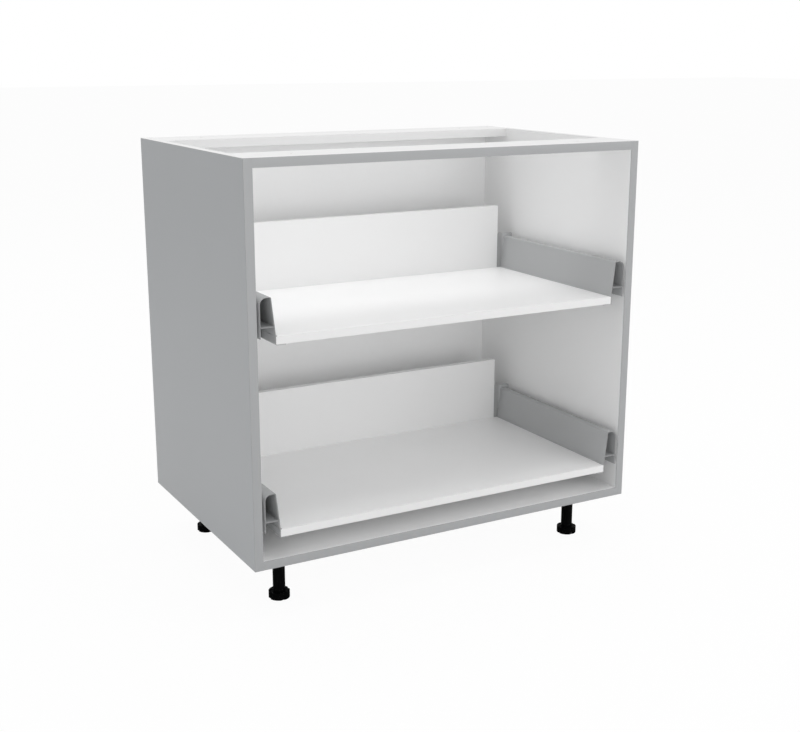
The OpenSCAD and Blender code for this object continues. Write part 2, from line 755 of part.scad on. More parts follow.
drawer_member(UPPER, LEFT);  // upper_left_drawer_member
drawer_member(UPPER, RIGHT);  // upper_right_drawer_member
drawer_member(LOWER, LEFT);  // lower_left_drawer_member
drawer_member(LOWER, RIGHT);  // lower_right_drawer_member
drawer_bottom(UPPER);  // upper_drawer_bottom
drawer_bottom(LOWER);  // lower_drawer_bottom
drawer_back(UPPER);  // upper_drawer_back
drawer_back(LOWER);  // lower_drawer_back
metal_side(UPPER, LEFT);  // upper_drawer_side_left
metal_side(UPPER, RIGHT);  // upper_drawer_side_right
metal_side(LOWER, LEFT);  // lower_drawer_side_left
metal_side(LOWER, RIGHT);  // lower_drawer_side_right
bracket(UPPER, LEFT);  // upper_bracket_left
bracket(UPPER, RIGHT);  // upper_bracket_right
bracket(LOWER, LEFT);  // lower_bracket_left
bracket(LOWER, RIGHT);  // lower_bracket_right
drawer_screws(UPPER);  // upper_drawer_screws
drawer_screws(LOWER);  // lower_drawer_screws
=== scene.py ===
"""Kitchen base cabinet with two pan drawers: its finishes, formed sheet parts, screws and studio."""

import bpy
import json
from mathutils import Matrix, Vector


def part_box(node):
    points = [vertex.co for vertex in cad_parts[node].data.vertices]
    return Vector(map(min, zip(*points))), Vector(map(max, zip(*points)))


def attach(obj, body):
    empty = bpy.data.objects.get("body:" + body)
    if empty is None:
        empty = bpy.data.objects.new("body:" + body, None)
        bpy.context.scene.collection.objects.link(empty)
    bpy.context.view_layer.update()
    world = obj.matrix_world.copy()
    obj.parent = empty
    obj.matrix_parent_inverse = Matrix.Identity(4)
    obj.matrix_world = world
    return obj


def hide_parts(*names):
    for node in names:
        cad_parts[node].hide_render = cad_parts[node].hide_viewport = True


bl_info = {
    "name": "Kitchen drawer base cabinet",
    "version": (1, 0, 0),
    "blender": (4, 5, 0),
    "location": "3D View > Sidebar > Cabinet",
    "description": "Finishes, formed sheet parts, screws and studio of a kitchen base cabinet",
    "category": "Object",
}

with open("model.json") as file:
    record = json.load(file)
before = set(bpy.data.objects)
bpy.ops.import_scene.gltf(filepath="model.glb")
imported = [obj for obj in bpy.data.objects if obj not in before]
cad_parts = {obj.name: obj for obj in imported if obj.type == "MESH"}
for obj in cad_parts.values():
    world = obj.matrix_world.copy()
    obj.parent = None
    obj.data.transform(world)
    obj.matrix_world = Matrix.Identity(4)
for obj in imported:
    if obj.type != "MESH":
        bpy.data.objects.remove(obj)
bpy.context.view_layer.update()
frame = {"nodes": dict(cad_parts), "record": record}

import json
import math

import bmesh
import bpy
import numpy as np
from bpy.props import FloatProperty, FloatVectorProperty, PointerProperty
from mathutils import Matrix

LEVELS = ("upper", "lower")
HANDS = {"left": -1, "right": 1}
CORNERS = [f"{end}_{hand}" for end in ("front", "rear") for hand in HANDS]
SUBPARTS = {row["node"]: row["material_slot"] for row in frame["record"]["subparts"]}

# What the formed pieces take from the frame
INNER_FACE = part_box("side_right")[0].x
OUTER_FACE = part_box("side_right")[1].x
FRONT_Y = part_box("front_edge_bands")[0].y
CORE_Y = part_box("side_right")[0].y
BOTTOM_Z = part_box("side_right")[0].z
TOP_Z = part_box("side_right")[1].z
FLOOR_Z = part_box("bottom_panel")[1].z
RAIL_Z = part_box("front_rail")[0].z
DRAWER_Z = {level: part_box(f"{level}_drawer_bottom")[0].z for level in LEVELS}
SIDE_BACK_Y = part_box("upper_drawer_back")[0].y
DRAWER_REAR_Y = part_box("upper_drawer_back")[1].y

# The section of a metal side: X is a distance from the carcass side and Z a height above the
# underside of the drawer bottom
OUTER_WALL_X = 0.005
OUTER_WALL_Z = 0.012
SIDE_TOP_X = 0.02617
SIDE_TOP_Z = 0.0815
BOARD_X = 0.0335
LEDGE_X = 0.0355
LEDGE_Z = 0.0152
UNDER_LEDGE_Z = 0.0146
LIP_X = 0.0515
WEB_X = (0.0056, 0.0311)
WEB_Z = 0.0312

# The leg plates' screws: their places on both sides of the leg's middle, and how far under the
# carcass their heads rest
LEG_SCREW_OFFSET = 0.022
LEG_SCREW_DEPTH = 0.0016

# The other screws, with X and Z as above: the first one's distance from the front, their pitch,
# and the thickness of the sheet that their heads rest on
RUNNER_SCREW_FIRST = 0.090
RUNNER_SCREW_PITCH = 0.128
RUNNER_SCREW_Z = 0.016
RUNNER_SHEET = 0.0012
LIP_SCREW_X = 0.0425
LIP_SCREW_FIRST = 0.060
LIP_SCREW_PITCH = 0.120
LIP_SHEET = 0.0012
BRACKET_SCREW_X = 0.0605
BRACKET_SCREW_Z = (0.034, 0.066)
BRACKET_SHEET = 0.0015
SCREWS_IN_ROW = 3

# The worktop holes in the rails: their places on both sides of the middle, and half the side of
# the square round each in which chips show
HOLE_X = 0.294
HOLE_Y = 0.210
HOLE_REACH = 0.0034

# A surface counts as a face, and takes that face's tone, within this distance of it
BOARD_SKIN = 0.0004
HOLE_SKIN = 0.0003
SHEET_SKIN = 0.0002

# A bracket's painted shade: how far from the carcass side it starts to fade into the sheet's grey, and
# the fade per metre
SHADE_FADE_X = 0.034
SHADE_FADE_PER_METRE = 160.0

# Tones that the panel doesn't offer: chips in a drilled hole, beech, and the two tints that zinc
# plate is multiplied by
CHIP_TONES = [(0.2, (0.20, 0.12, 0.06)), (0.5, (0.45, 0.31, 0.18)), (0.8, (0.62, 0.48, 0.32))]
BEECH_LIGHT = (0.60, 0.42, 0.25)
BEECH_DARK = (0.36, 0.22, 0.11)
ZINC_YELLOW = (1.04, 1.0, 0.90)
ZINC_BLUE = (0.95, 0.99, 1.07)

# A screw's cross recess: half a blade's width and its reach as shares of the head's width, the
# floor's size as a share of the rim's, and the rise of both as shares of the head's
BLADE = 0.075
REACH = 0.29
RECESS_FLOOR_SIZE = 0.45
RECESS_FLOOR_RISE = 0.25
RECESS_RIM_RISE = 0.97

# A screw's dome from the top to the seat, as shares of the head's radius and of its rise
DOME = ((0.62, 0.99), (0.82, 0.86), (0.94, 0.62), (1.0, 0.3), (1.0, 0.0))

# A screw's thread: its core as a share of the shank, one over the share of the pitch that half the
# ridge takes, the length of the point as a share of the shank, the radius left at the tip as a
# share of the whole, and the rows of points in one turn
THREAD_CORE = 0.7
RIDGE_STEEPNESS = 3.2
POINT_LENGTH = 0.9
TIP_SHARE = 0.12
ROWS_IN_TURN = 4

# Points closer than WELD become one, and edges shorter than SLIVER go
WELD = 2e-6
SLIVER = 1e-7

# The floor: its half side, its points in a row, and how much of what the camera sees of it is
# plain white
FLOOR_REACH = 30
FLOOR_POINTS = 13
FLOOR_GLOW = 0.95

# The lamps: how many degrees each stands from the front towards the right and above level, what
# they aim at, how far from it they are and how wide
LAMPS = {"front": (0, 4), "overhead": (0, 90), "side": (45, 20), "rear": (180, 45)}
AIM = (0.0, 0.0, 0.45)
LAMP_DISTANCE = 4.0
LAMP_WIDTH = 3.0


def nodes_named(*names):
    """The CAD nodes with these names."""
    return [frame["nodes"][name] for name in names]


def nodes_of(slot):
    """The CAD nodes with this material slot."""
    return nodes_named(*(name for name, its_slot in SUBPARTS.items() if its_slot == slot))


# Shader maths

class Term:
    """One socket's value in a node tree. Python's operators on it add Math nodes."""

    def __init__(self, graph, socket):
        self.graph = graph
        self.socket = socket

    def __add__(self, other):
        return self.graph.maths("ADD", self, other)

    def __radd__(self, other):
        return self.graph.maths("ADD", other, self)

    def __sub__(self, other):
        return self.graph.maths("SUBTRACT", self, other)

    def __rsub__(self, other):
        return self.graph.maths("SUBTRACT", other, self)

    def __mul__(self, other):
        return self.graph.maths("MULTIPLY", self, other)

    def __rmul__(self, other):
        return self.graph.maths("MULTIPLY", other, self)

    def __gt__(self, other):
        return self.graph.maths("GREATER_THAN", self, other)

    def __lt__(self, other):
        return self.graph.maths("LESS_THAN", self, other)

    def __abs__(self):
        return self.graph.maths("ABSOLUTE", self)


class Graph:
    """One node tree, and the terms that are written in it."""

    def __init__(self, tree):
        self.tree = tree

    def node(self, kind, settings=(), inputs=(), out=0):
        """A node of this kind, with its settings made first and then its sockets fed. The stops
        of a ramp are a setting too, as places and colours."""
        node = self.tree.nodes.new("ShaderNode" + kind)
        for key, value in dict(settings).items():
            if key == "stops":
                elements = node.color_ramp.elements
                for at, _ in value[2:]:
                    elements.new(at)
                for element, (at, colour) in zip(elements, value):
                    element.position = at
                    element.color = (*colour, 1)
            else:
                setattr(node, key, value)
        for key, value in dict(inputs).items():
            self.feed(node.inputs[key], value)
        return Term(self, node.outputs[out])

    def feed(self, socket, value):
        """Links a term to a socket, or sets a number or colour on it."""
        if isinstance(value, Term):
            self.tree.links.new(value.socket, socket)
        elif socket.type == "RGBA":
            socket.default_value = (*tuple(value)[:3], 1)
        else:
            socket.default_value = value

    def maths(self, operation, *values):
        """A Math node on terms and numbers."""
        return self.node("Math", {"operation": operation}, dict(enumerate(values)))


class Look(Graph):
    """One material, and the terms that its finish is written with."""

    def __init__(self, name):
        self.material = bpy.data.materials.new(name)
        self.material.use_nodes = True
        super().__init__(self.material.node_tree)
        self.shader = self.tree.nodes["Principled BSDF"]

    def axes(self):
        """X, Y and Z of the object coordinates, in metres."""
        split = self.node("SeparateXYZ", {}, {0: self.node("TexCoord", out="Object")})
        return [Term(self, socket) for socket in split.socket.node.outputs]

    def noise(self, scale, detail=2.0, stretch=(1, 1, 1), rough=0.5):
        """Noise from 0 to 1 with scale features to the metre, in object coordinates that are
        multiplied by stretch."""
        place = self.node("Mapping", {}, {"Vector": self.node("TexCoord", out="Object"),
                                          "Scale": stretch})
        return self.node("TexNoise", {}, {"Vector": place, "Scale": scale, "Detail": detail,
                                          "Roughness": rough})

    def mix(self, part, first, second):
        """The first colour where part is 0, the second where it is 1."""
        return self.node("Mix", {"data_type": "RGBA"}, {0: part, 6: first, 7: second}, 2)

    def shaded(self, colour, by):
        """A colour multiplied by a term."""
        return self.node("VectorMath", {"operation": "SCALE"}, {0: colour, "Scale": by})

    def bump(self, height, depth):
        """A normal for a relief that is depth metres deep."""
        return self.node("Bump", {}, {"Height": height, "Distance": depth, "Strength": 1.0})

    def finish(self, **sockets):
        """Feeds the surface shader's sockets and gives back the material."""
        for key, value in sockets.items():
            self.feed(self.shader.inputs[key.replace("_", " ").title().replace("Ior", "IOR")], value)
        return self.material


def paint(objects, material):
    """Puts one material on whole pieces."""
    for obj in objects:
        obj.data.materials.clear()
        obj.data.materials.append(material)


# Finishes

def melamine(name, colour, outer=None, top=None, front=None, worktop_holes=False):
    """Melamine-faced board: a faint cloud in its tone and a fine pearl relief. The sides carry
    outer on their outer face, top and front are darker tones painted as shade on the edges at the
    carcass's top and front, and a rail's drilled holes show its chips."""
    look = Look(name)
    x, y, z = look.axes()
    cloud = look.noise(4.0, detail=3.0)
    pearl = look.noise(1500.0)
    fleck = look.noise(260.0, detail=4.0, rough=0.7)
    tone = colour
    if outer:
        tone = look.mix(abs(x) > OUTER_FACE - BOARD_SKIN, tone, outer)
    # Painted shade: the top and front edges take a darker tone
    if top:
        tone = look.mix(z > TOP_Z - BOARD_SKIN, tone, top)
    if front:
        tone = look.mix(y < FRONT_Y + BOARD_SKIN, tone, front)
    if worktop_holes:
        chips = look.node("ValToRGB", {"stops": CHIP_TONES},
                          {0: look.noise(900.0, detail=3.0, rough=0.8)})
        around = (abs(abs(x) - HOLE_X) < HOLE_REACH) * (abs(abs(y) - HOLE_Y) < HOLE_REACH)
        inside = (z > RAIL_Z + HOLE_SKIN) * (z < TOP_Z - HOLE_SKIN)
        tone = look.mix(around * inside, tone, chips)
    return look.finish(base_color=look.shaded(tone, 0.975 + cloud * 0.03 + fleck * 0.02),
                       roughness=0.36 + fleck * 0.12,
                       normal=look.bump(pearl * 0.7 + fleck * 0.3, depth=0.00003))


def fibreboard(name, face, raw, rear_y):
    """Thin fibreboard: painted and finely embossed in front, bare brown fibres behind."""
    look = Look(name)
    y = look.axes()[1]
    emboss = look.noise(520.0, detail=3.0, rough=0.6)
    fibres = look.noise(420.0, detail=6.0, stretch=(0.3, 1, 1), rough=0.8)
    felt = look.noise(90.0, detail=4.0, rough=0.7)
    bare = y > rear_y - SHEET_SKIN
    brown = look.shaded(raw, 0.36 + fibres * 0.8 + felt * 0.45)
    white = look.shaded(face, 0.98 + felt * 0.03)
    return look.finish(base_color=look.mix(bare, white, brown),
                       roughness=0.42 + bare * 0.3 + emboss * 0.08,
                       normal=look.bump(emboss + bare * fibres, depth=0.00003))


def edge_banding(name, colour):
    """Plastic edge band: even tone, satin, with a hair-fine grain."""
    look = Look(name)
    grain = look.noise(2200.0)
    drift = look.noise(14.0)
    return look.finish(base_color=look.shaded(colour, 0.985 + drift * 0.03),
                       roughness=0.30 + grain * 0.14,
                       normal=look.bump(grain, depth=0.00002))


def powder_coat(name, colour, front_shade=None, plate=None):
    """Powder-coated sheet: a soft orange-peel relief and a barely speckled silk sheen.
    The third argument is a darker tone painted as shade on the sheet's front edges, at the drawer's
    front, and the fourth is the sheet's own grey, into which a bracket's painted shade fades from the
    drawer back to the carcass side."""
    look = Look(name)
    x, y = look.axes()[:2]
    peel = look.noise(620.0, rough=0.4)
    speck = look.noise(3200.0, detail=1.0)
    drift = look.noise(9.0)
    tone = colour
    # Painted shade: the sheet's front edges take the darker tone
    if front_shade:
        tone = look.mix(y < FRONT_Y + SHEET_SKIN, tone, front_shade)
    # Painted shade: a bracket is darker towards the drawer back and fades to the sheet's grey near the
    # carcass side
    if plate:
        tone = look.mix((abs(x) - (INNER_FACE - SHADE_FADE_X)) * SHADE_FADE_PER_METRE, tone, plate)
    return look.finish(base_color=look.shaded(tone, 0.955 + drift * 0.04 + speck * 0.05),
                       roughness=0.5 + speck * 0.12,
                       specular_ior_level=0.25,
                       normal=look.bump(peel, depth=0.00006))


def zinc_plate(name, colour, stretch=(1, 0.012, 1)):
    """Zinc-plated rolled strip: drawn lines along it and the faint yellow and blue of its
    passivation."""
    look = Look(name)
    lines = look.noise(2600.0, detail=3.0, stretch=stretch, rough=0.65)
    bloom = look.noise(38.0, detail=3.0, rough=0.6)
    tint = look.mix(bloom, np.multiply(colour, ZINC_YELLOW), np.multiply(colour, ZINC_BLUE))
    return look.finish(base_color=look.shaded(tint, 0.86 + lines * 0.26),
                       metallic=1.0,
                       roughness=0.24 + lines * 0.22 + bloom * 0.1,
                       normal=look.bump(lines, depth=0.00004))


def cast_zinc(name, colour):
    """Die-cast zinc: a dull grey skin with shallow flow marks and fine pits."""
    look = Look(name)
    flow = look.noise(240.0, detail=4.0, rough=0.7)
    pits = look.noise(1800.0)
    return look.finish(base_color=look.shaded(colour, 0.82 + flow * 0.3),
                       metallic=1.0,
                       roughness=0.42 + flow * 0.16 + pits * 0.1,
                       normal=look.bump(flow * 0.6 + pits * 0.4, depth=0.00008))


def moulded(name, colour, grain, gloss, shine):
    """Injection-moulded plastic with a spark-eroded grain and slow changes in its sheen. grain is
    the relief's depth, gloss the least roughness and shine the specular level."""
    look = Look(name)
    spark = look.noise(1500.0, detail=3.0, rough=0.7)
    slow = look.noise(45.0)
    return look.finish(base_color=look.shaded(colour, 0.9 + slow * 0.14 + spark * 0.06),
                       roughness=gloss + spark * 0.16 + slow * 0.06,
                       specular_ior_level=shine,
                       normal=look.bump(spark, grain))


def turned_beech(name, light, dark):
    """Beech dowel: grain along its length with the short dark flecks of the wood's rays."""
    look = Look(name)
    grain = look.noise(1200.0, detail=4.0, stretch=(0.05, 1, 1), rough=0.7)
    rays = look.noise(1900.0, detail=1.0, stretch=(0.22, 1, 1)) > 0.63
    return look.finish(base_color=look.mix(grain * 0.75 + rays * 0.25, light, dark),
                       roughness=0.55 + grain * 0.2,
                       normal=look.bump(grain, depth=0.0001))


# Surfaces

def quads(rows, columns, around=False):
    """The faces between neighbouring points of a grid that is numbered row by row;
    around joins its last column to its first."""
    row = np.arange(rows - 1)[:, None] * columns
    one = np.arange(columns if around else columns - 1)[None, :]
    two = (one + 1) % columns
    return np.stack([row + one, row + two, row + columns + two, row + columns + one], -1).reshape(-1, 4)


def build(name, parts, material, body, replaced, sharp=32):
    """One piece from parts of (points, faces): joined, welded at seams and poles, faces turned
    outwards, smooth but for bends sharper than sharp degrees, and set on its body in place of
    the replaced CAD nodes."""
    points, faces, start = [], [], 0
    for part_points, part_faces in parts:
        points.append(np.reshape(part_points, (-1, 3)))
        faces.append(part_faces + start)
        start += len(points[-1])
    mesh = bpy.data.meshes.new(name)
    mesh.from_pydata(np.concatenate(points).tolist(), [], np.concatenate(faces).tolist())
    work = bmesh.new()
    work.from_mesh(mesh)
    bmesh.ops.remove_doubles(work, verts=work.verts, dist=WELD)
    bmesh.ops.dissolve_degenerate(work, edges=work.edges, dist=SLIVER)
    bmesh.ops.recalc_face_normals(work, faces=work.faces)
    work.to_mesh(mesh)
    work.free()
    mesh.polygons.foreach_set("use_smooth", np.ones(len(mesh.polygons), bool))
    mesh.set_sharp_from_angle(angle=math.radians(sharp))
    mesh.materials.append(material)
    piece = bpy.data.objects.new(name, mesh)
    bpy.context.scene.collection.objects.link(piece)
    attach(piece, body)
    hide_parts(*replaced)


def folded(corners, radii, steps):
    """A path through corners whose inner ones are rounded: at each the arc of that radius touches
    both legs, and its points are the blend of its two end spokes by the sines of the angles left
    and gone over the sine of the whole turn."""
    corners = np.asarray(corners, float)
    runs = [corners[:1]]
    for before, corner, after, radius in zip(corners[:-2], corners[1:-1], corners[2:], radii):
        back = (before - corner) / np.linalg.norm(before - corner)
        on = (after - corner) / np.linalg.norm(after - corner)
        half = 0.5 * math.acos(np.clip(back @ on, -1, 1))
        middle = corner + (back + on) / np.linalg.norm(back + on) * radius / math.sin(half)
        first = corner + back * radius / math.tan(half)
        last = corner + on * radius / math.tan(half)
        turn = math.pi - 2 * half
        part = np.linspace(0, 1, steps + 1)[:, None]
        runs.append(middle + (np.sin((1 - part) * turn) * (first - middle)
                              + np.sin(part * turn) * (last - middle)) / math.sin(turn))
    runs.append(corners[-1:])
    return np.concatenate(runs)


def sheet_along(path, thickness, y0, y1, hand, z):
    """A bent sheet: path in (distance from the carcass side, height), and its copy moved by the
    thickness to the right of the way. At a corner the move is the sum of the two legs' normals
    over one plus their dot product, which is a mitre. The closed outline is carried from y0 to
    y1, and its ends are closed strip by strip."""
    way = np.diff(path, axis=0)
    way /= np.linalg.norm(way, axis=1, keepdims=True)
    right = np.stack([way[:, 1], -way[:, 0]], 1)
    before, after = np.vstack([right[:1], right]), np.vstack([right, right[-1:]])
    moved = path + thickness * (before + after) / (1 + (before * after).sum(1, keepdims=True))
    outline = np.concatenate([path, moved[::-1]])
    count, half = len(outline), len(path)
    points = np.empty((2, count, 3))
    points[:, :, 0] = hand * (INNER_FACE - outline[:, 0])
    points[:, :, 1] = np.array([y0, y1])[:, None]
    points[:, :, 2] = z + outline[:, 1]
    one = np.arange(half - 1)
    end = np.stack([one, one + 1, count - 2 - one, count - 1 - one], 1)
    return points, np.concatenate([quads(2, count, True), end, end + count])


def strip(width_at, ends, upright, edge, steps=4):
    """An edge band in front of the boards' core: a flat back and a front whose two long edges are
    quarter circles of radius edge, as a loop of (across, forward) that is carried between its two
    ends and closed by a pole in the middle of each. An upright band is wide along X and long
    along Z, a lying one the other way round."""
    low, high = width_at
    depth = CORE_Y - FRONT_Y
    turn = np.linspace(0, math.pi / 2, steps + 1)
    loop = np.concatenate([
        [[low, 0]],
        np.stack([low + edge - edge * np.cos(turn), depth - edge + edge * np.sin(turn)], 1),
        np.stack([high - edge + edge * np.sin(turn), depth - edge + edge * np.cos(turn)], 1),
        [[high, 0]]])
    pole = np.broadcast_to(loop.mean(0), loop.shape)
    across, forward = np.moveaxis(np.stack([pole, loop, loop, pole]), -1, 0)
    along = np.broadcast_to(np.repeat(ends, 2)[:, None], across.shape)
    x, z = (across, along) if upright else (along, across)
    return np.stack([x, CORE_Y - forward, z], -1), quads(*across.shape, True)


# Screws

def screw(shank, length, head, rise, pitch):
    """A pan-head screw with a cross recess, seat in the plane Z = 0 and pointing along +Z, as a
    surface of row and angle. The rows are the recess's floor and rim, the dome, and the shank.
    The recess is a plus sign: with c and s the sizes of the angle's cosine and sine, its radius
    is the larger of min(blade / s, reach / c) and min(blade / c, reach / s). The thread's radius
    is its core plus a ridge, a triangle wave of height / pitch - angle / turn, and it shrinks to
    a point at the tip."""
    blade, reach = head * BLADE, head * REACH
    tip = math.atan2(blade, reach)
    notch = math.pi / 4
    next_tip = math.pi / 2 - tip
    quarter = np.array([0, tip, (tip + notch) / 2, notch, (notch + next_tip) / 2, next_tip])
    angle = (quarter + np.arange(4)[:, None] * math.pi / 2).ravel()
    no_zero = 1e-9
    c, s = np.abs(np.cos(angle)) + no_zero, np.abs(np.sin(angle)) + no_zero
    plus = np.maximum(np.minimum(blade / s, reach / c), np.minimum(blade / c, reach / s))
    even = np.ones_like(angle)
    rows = [(0 * even, -rise * RECESS_FLOOR_RISE),
            (plus * RECESS_FLOOR_SIZE, -rise * RECESS_FLOOR_RISE),
            (plus, -rise * RECESS_RIM_RISE)]
    rows += [(head / 2 * across * even, -rise * up) for across, up in DOME]
    rows += [(shank / 2 * THREAD_CORE * even, 0)]
    row_step = pitch / ROWS_IN_TURN
    heights = np.arange(row_step, length, row_step)
    left = np.clip((length - heights) / (shank * POINT_LENGTH), TIP_SHARE, 1)
    wave = (heights[:, None] / pitch - angle / (2 * math.pi)) % 1
    ridge = np.maximum(0, 1 - np.abs(wave - 0.5) * RIDGE_STEEPNESS)
    radius = (shank / 2) * (THREAD_CORE + (1 - THREAD_CORE) * ridge) * left[:, None]
    radius = np.concatenate([[row for row, _ in rows], radius, [0 * even]])
    height = np.concatenate([[h for _, h in rows], heights, [length]])
    points = np.stack([radius * np.cos(angle), radius * np.sin(angle),
                       np.broadcast_to(height[:, None], radius.shape)], -1)
    return points.reshape(-1, 3), quads(len(height), len(angle), True)


def row_places(first, pitch):
    """Y of each screw in a row, from the first one's distance from the front."""
    return [FRONT_Y + first + pitch * i for i in range(SCREWS_IN_ROW)]


def driven(screw_shape, seats, direction):
    """The screw's copies at seats. The Z of a point goes along direction, its X along a side
    square to that, and its Y along the cross product of the two."""
    points, faces = screw_shape
    direction = np.asarray(direction, float)
    side = np.array([0.0, 0.0, 1.0]) if abs(direction[2]) < 0.5 else np.array([1.0, 0.0, 0.0])
    other = np.cross(direction, side)
    turned = points[:, :1] * side + points[:, 1:2] * other + points[:, 2:] * direction
    return [(turned + seat, faces) for seat in np.asarray(seats, float)]


# Studio

def placed(scene, name, data, matrix):
    """A new object in the scene for this data, put where matrix says."""
    obj = bpy.data.objects.new(name, data)
    obj.matrix_world = matrix
    scene.collection.objects.link(obj)
    return obj


def add_surround(scene, strength):
    """An even white surround: full where the camera or a mirror sees it, strength as light."""
    world = bpy.data.worlds.new("surround")
    world.use_nodes = True
    scene.world = world
    sky = Graph(world.node_tree)
    seen = sky.node("LightPath", out="Is Camera Ray")
    for ray in ("Is Glossy Ray", "Is Transmission Ray"):
        seen = sky.maths("MAXIMUM", seen, sky.node("LightPath", out=ray))
    background = sky.tree.nodes["Background"]
    background.inputs["Color"].default_value = (1, 1, 1, 1)
    sky.feed(background.inputs["Strength"], strength + seen * (1.0 - strength))


def add_floor(scene, colour):
    """A pale floor that the camera sees as almost plain white, with a faint shadow."""
    look = Look("Pale floor")
    look.finish(base_color=colour, roughness=0.9, specular_ior_level=0.0)
    white = look.node("Emission", {}, {"Color": (1, 1, 1), "Strength": 1.0})
    part = look.node("LightPath", out="Is Camera Ray") * FLOOR_GLOW
    blend = look.node("MixShader", {}, {0: part, 1: Term(look, look.shader.outputs[0]), 2: white})
    look.feed(look.tree.nodes["Material Output"].inputs["Surface"], blend)

    places = np.linspace(-FLOOR_REACH, FLOOR_REACH, FLOOR_POINTS)
    across, back = np.meshgrid(places, places)
    mesh = bpy.data.meshes.new("floor")
    mesh.from_pydata(np.stack([across, back, 0 * across], -1).reshape(-1, 3).tolist(), [],
                     quads(FLOOR_POINTS, FLOOR_POINTS).tolist())
    mesh.materials.append(look.material)
    floor = placed(scene, "floor", mesh, Matrix())


def add_lamp(scene, name, azimuth, elevation, share):
    """A soft disc lamp, azimuth degrees from the front towards the right and elevation degrees
    up. share is how bright it makes a white face that is turned towards it, all by itself."""
    lamp = bpy.data.lights.new(name, "AREA")
    lamp.shape = "DISK"
    lamp.size = LAMP_WIDTH
    lamp.energy = share * math.pi ** 2 * LAMP_DISTANCE ** 2
    turn = (Matrix.Rotation(math.radians(azimuth), 4, "Z")
            @ Matrix.Rotation(math.radians(90 - elevation), 4, "X"))
    placed(scene, name, lamp,
           Matrix.Translation(AIM) @ turn @ Matrix.Translation((0, 0, LAMP_DISTANCE)))


def add_camera(scene, studio):
    """The camera, turned from straight back by its yaw, pitch and roll."""
    camera = bpy.data.cameras.new("camera")
    camera.sensor_fit = "HORIZONTAL"
    camera.sensor_width = 36.0
    camera.lens = studio.lens
    camera.clip_start = 0.01
    camera.clip_end = 200
    scene.camera = placed(scene, "camera", camera,
                          Matrix.Translation(studio.eye)
                          @ Matrix.Rotation(-studio.yaw, 4, "Z")
                          @ Matrix.Rotation(math.pi / 2 - studio.pitch, 4, "X")
                          @ Matrix.Rotation(studio.roll, 4, "Z"))


# What a user may change

def colour_setting(name, description, default):
    """A colour in the panel, as a linear albedo."""
    return FloatVectorProperty(name=name, description=description, subtype="COLOR", min=0, max=1,
                               default=default)


def length_setting(name, description, low, high, default):
    """A length in the panel, in metres."""
    return FloatProperty(name=name, description=description, unit="LENGTH", min=low, max=high,
                         default=default)


def angle_setting(name, description, degrees):
    """An angle in the panel."""
    return FloatProperty(name=name, description=description, subtype="ANGLE",
                         default=math.radians(degrees))


def light_setting(name, description, default):
    """A lamp's or the surround's share of full daylight in the panel."""
    return FloatProperty(name=name, description=description, min=0, max=1.5, default=default)


class CabinetFinish(bpy.types.PropertyGroup):
    """Colours of the boards, sheets and plastics."""

    board_white: colour_setting("Board white", "Melamine inside the carcass", (0.94, 0.942, 0.942))
    board_grey: colour_setting("Board grey", "Melamine on the outer faces of the sides",
                               (0.449, 0.463, 0.475))
    back_white: colour_setting("Back panel white", "Paint on the front of the back panel",
                               (0.91, 0.912, 0.912))
    back_raw: colour_setting("Back panel fibre", "Bare fibreboard behind the back panel",
                             (0.36, 0.22, 0.12))
    band_grey: colour_setting("Edge band grey", "Plastic band on the front edges",
                              (0.337, 0.343, 0.349))
    shade_white: colour_setting("Shade white", "Shade painted on the top rails and on the white boards' top and front edges",
                               (0.735, 0.735, 0.735))
    base_white: colour_setting("Drawer base white", "Melamine of the drawer bottoms",
                               (0.97, 0.97, 0.97))
    rear_white: colour_setting("Drawer back white", "Melamine of the drawer backs",
                               (0.81, 0.81, 0.81))
    sheet_grey: colour_setting("Metal side grey", "Powder coat of the metal drawer sides",
                               (0.467, 0.475, 0.480))
    front_edge_shade_grey: colour_setting("Front edge shade grey", "Shade painted on the front edges of the metal drawer sides",
                             (0.27, 0.273, 0.276))
    bracket_shade_grey: colour_setting("Bracket shade grey", "Shade painted on the rear brackets towards the drawer backs",
                                 (0.34, 0.344, 0.347))
    zinc: colour_setting("Zinc plate", "Plating of the runners and screws", (0.60, 0.61, 0.62))
    casting: colour_setting("Cast zinc", "Skin of the cam discs", (0.45, 0.455, 0.46))
    leg_black: colour_setting("Leg black", "Plastic of the legs", (0.002, 0.002, 0.0021))
    cage_ivory: colour_setting("Cage ivory", "Plastic of the roller cages", (0.72, 0.70, 0.60))


class CabinetSizes(bpy.types.PropertyGroup):
    """Sizes of the formed pieces."""

    sheet: length_setting("Metal side sheet", "Thickness of the metal sides' sheet",
                          0.0008, 0.0015, 0.0012)
    bend: length_setting("Bend radius", "Outside radius of the sheet's smaller bends",
                         0.0015, 0.003, 0.002)
    outer_edge: length_setting("Outer top radius", "Rounding of a metal side's outer top edge",
                               0.006, 0.014, 0.012)
    inner_edge: length_setting("Inner top radius", "Rounding of a metal side's inner top edge",
                               0.002, 0.005, 0.003)
    band_edge: length_setting("Band rounding", "Rounding of the edge bands' long edges",
                              0.0002, 0.001, 0.0003)


